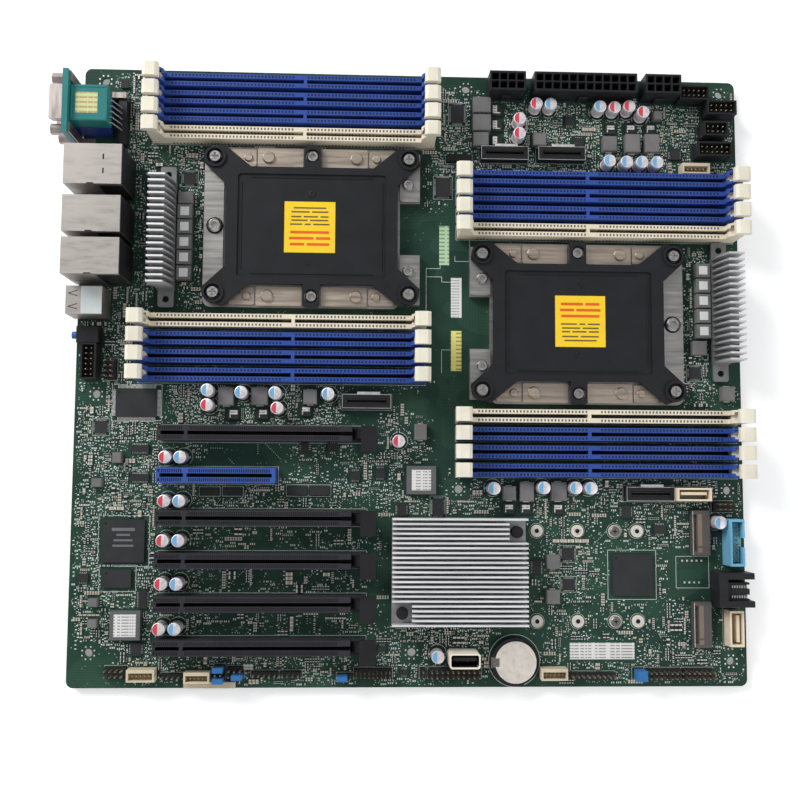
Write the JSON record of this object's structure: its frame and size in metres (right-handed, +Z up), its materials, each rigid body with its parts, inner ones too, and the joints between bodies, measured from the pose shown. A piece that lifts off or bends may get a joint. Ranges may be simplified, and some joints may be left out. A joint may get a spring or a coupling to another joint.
{
  "type": "motherboard",
  "caption": "Dual-processor server motherboard with covered processor seats, latching memory sockets, expansion slots, finned coolers and a rear connector row.",
  "frame": {"origin": "centre of the mounting hole in the slot-side rear corner, on the board's underside", "axes": "+X from the rear edge with the connectors towards the front edge, +Y from the card slots towards the power sockets, +Z up out of the board's component side"},
  "size_m": [0.3402, 0.3048, 0.0312],
  "materials": {
    "pcb": "dark green solder mask, satin",
    "steel": "stamped steel, satin",
    "spring_steel": "warm tinted spring steel",
    "screw_steel": "bright plated steel",
    "socket_plastic": "pale moulded plastic",
    "cover_plastic": "charcoal moulded plastic",
    "dimm_blue": "deep blue moulded plastic",
    "dimm_white": "cream moulded plastic",
    "latch_white": "cream moulded plastic",
    "black_plastic": "black moulded plastic",
    "cooler_aluminium": "extruded aluminium, bright fin tops",
    "nickel": "matte nickel plated steel",
    "teal": "teal moulded plastic",
    "vga_blue": "dark blue moulded plastic",
    "header_blue": "light blue moulded plastic",
    "cream_plastic": "cream moulded plastic",
    "gold": "gold plated pads",
    "can_aluminium": "drawn aluminium cans with coloured marks",
    "choke_ferrite": "pressed iron powder, gray",
    "chip_black": "moulded epoxy, dark gray",
    "cell_nickel": "nickel plated steel, warm sheen",
    "button_blue": "bright blue moulded plastic"
  },
  "bodies": {
    "board": {"pcb": "pcb", "cpu_backplates": "steel", "cpu_sockets": "socket_plastic", "cpu_bolsters": "steel", "cpu_spring_clips": "spring_steel", "cpu_hold_down_screws": "screw_steel", "cpu_heatsink_studs": "screw_steel", "dimm_sockets_blue": "dimm_blue", "dimm_sockets_white": "dimm_white", "pcie_slots_black": "black_plastic", "pcie_slot_blue": "dimm_blue", "vrm_heatsink_rear": "cooler_aluminium", "vrm_heatsink_front": "cooler_aluminium", "chipset_heatsink": "cooler_aluminium", "heatsink_push_pins": "black_plastic", "lan_jacks": "nickel", "serial_port": "teal", "vga_port": "vga_blue", "d_sub_bracket": "nickel", "usb_stack": "nickel", "usb_upright_port": "nickel", "usb3_header": "header_blue", "atx_power_socket": "black_plastic", "cpu_power_sockets": "black_plastic", "sata_ports": "cream_plastic", "sata_stack": "black_plastic", "slim_sas_ports": "black_plastic", "m2_slots": "black_plastic", "m2_standoffs": "gold", "capacitors": "can_aluminium", "power_chokes": "choke_ferrite", "large_chips": "chip_black", "small_chips": "chip_black", "flash_sockets": "black_plastic", "pin_headers": "black_plastic", "wafer_connectors": "cream_plastic", "battery_holder": "black_plastic", "id_button_case": "black_plastic"},
    "cover_rear": {"cpu_cover_rear": "cover_plastic"},
    "cover_front": {"cpu_cover_front": "cover_plastic"},
    "latches_a_rear": {"dimm_latches_a_rear": "latch_white"},
    "latches_a_front": {"dimm_latches_a_front": "latch_white"},
    "latches_b_rear": {"dimm_latches_b_rear": "latch_white"},
    "latches_b_front": {"dimm_latches_b_front": "latch_white"},
    "latches_c_rear": {"dimm_latches_c_rear": "latch_white"},
    "latches_c_front": {"dimm_latches_c_front": "latch_white"},
    "latches_d_rear": {"dimm_latches_d_rear": "latch_white"},
    "latches_d_front": {"dimm_latches_d_front": "latch_white"},
    "card_latch_1": {"pcie_latch_1": "black_plastic"},
    "card_latch_2": {"pcie_latch_2": "black_plastic"},
    "card_latch_3": {"pcie_latch_3": "black_plastic"},
    "card_latch_4": {"pcie_latch_4": "black_plastic"},
    "card_latch_5": {"pcie_latch_5": "black_plastic"},
    "cell": {"battery": "cell_nickel"},
    "button": {"id_button": "button_blue"},
    "jumper_1": {"jumper_cap_1": "button_blue"},
    "jumper_2": {"jumper_cap_2": "button_blue"},
    "jumper_3": {"jumper_cap_3": "button_blue"},
    "jumper_4": {"jumper_cap_4": "button_blue"},
    "jumper_5": {"jumper_cap_5": "button_blue"}
  },
  "joints": [
    {"name": "latch_a_rear_hinge", "type": "hinge", "parent": "board", "child": "latches_a_rear", "pos_m": [0.02764, 0.26709, 0.0066], "axis": [0, -1, 0], "range_deg": [0, 40]},
    {"name": "latch_a_front_hinge", "type": "hinge", "parent": "board", "child": "latches_a_front", "pos_m": [0.16204, 0.26709, 0.0066], "axis": [0, 1, 0], "range_deg": [0, 40]},
    {"name": "latch_b_rear_hinge", "type": "hinge", "parent": "board", "child": "latches_b_rear", "pos_m": [0.02324, 0.14709, 0.0066], "axis": [0, -1, 0], "range_deg": [0, 40]},
    {"name": "latch_b_front_hinge", "type": "hinge", "parent": "board", "child": "latches_b_front", "pos_m": [0.15764, 0.14709, 0.0066], "axis": [0, 1, 0], "range_deg": [0, 40]},
    {"name": "latch_c_rear_hinge", "type": "hinge", "parent": "board", "child": "latches_c_rear", "pos_m": [0.17984, 0.22069, 0.0066], "axis": [0, -1, 0], "range_deg": [0, 40]},
    {"name": "latch_c_front_hinge", "type": "hinge", "parent": "board", "child": "latches_c_front", "pos_m": [0.31424, 0.22069, 0.0066], "axis": [0, 1, 0], "range_deg": [0, 40]},
    {"name": "latch_d_rear_hinge", "type": "hinge", "parent": "board", "child": "latches_d_rear", "pos_m": [0.17964, 0.10169, 0.0066], "axis": [0, -1, 0], "range_deg": [0, 40]},
    {"name": "latch_d_front_hinge", "type": "hinge", "parent": "board", "child": "latches_d_front", "pos_m": [0.31404, 0.10169, 0.0066], "axis": [0, 1, 0], "range_deg": [0, 40]},
    {"name": "card_latch_1_hinge", "type": "hinge", "parent": "board", "child": "card_latch_1", "pos_m": [0.12884, 0.00389, 0.006], "axis": [0, 1, 0], "range_deg": [0, 20]},
    {"name": "card_latch_2_hinge", "type": "hinge", "parent": "board", "child": "card_latch_2", "pos_m": [0.12884, 0.02421, 0.006], "axis": [0, 1, 0], "range_deg": [0, 20]},
    {"name": "card_latch_3_hinge", "type": "hinge", "parent": "board", "child": "card_latch_3", "pos_m": [0.12884, 0.04453, 0.006], "axis": [0, 1, 0], "range_deg": [0, 20]},
    {"name": "card_latch_4_hinge", "type": "hinge", "parent": "board", "child": "card_latch_4", "pos_m": [0.12884, 0.06485, 0.006], "axis": [0, 1, 0], "range_deg": [0, 20]},
    {"name": "card_latch_5_hinge", "type": "hinge", "parent": "board", "child": "card_latch_5", "pos_m": [0.12884, 0.10549, 0.006], "axis": [0, 1, 0], "range_deg": [0, 20]},
    {"name": "cover_rear_lift", "type": "slide", "parent": "board", "child": "cover_rear", "axis": [0, 0, 1], "range_m": [0, 0.04]},
    {"name": "cover_front_lift", "type": "slide", "parent": "board", "child": "cover_front", "axis": [0, 0, 1], "range_m": [0, 0.04]},
    {"name": "cell_lift", "type": "slide", "parent": "board", "child": "cell", "axis": [0, 0, 1], "range_m": [0, 0.015]},
    {"name": "button_press", "type": "slide", "parent": "board", "child": "button", "axis": [1, 0, 0], "range_m": [0, 0.0005], "stiffness_N_per_m": 400},
    {"name": "jumper_1_pull", "type": "slide", "parent": "board", "child": "jumper_1", "axis": [0, 0, 1], "range_m": [0, 0.009]},
    {"name": "jumper_2_pull", "type": "slide", "parent": "board", "child": "jumper_2", "axis": [0, 0, 1], "range_m": [0, 0.009]},
    {"name": "jumper_3_pull", "type": "slide", "parent": "board", "child": "jumper_3", "axis": [0, 0, 1], "range_m": [0, 0.009]},
    {"name": "jumper_4_pull", "type": "slide", "parent": "board", "child": "jumper_4", "axis": [0, 0, 1], "range_m": [0, 0.009]},
    {"name": "jumper_5_pull", "type": "slide", "parent": "board", "child": "jumper_5", "axis": [0, 0, 1], "range_m": [0, 0.009]}
  ]
}
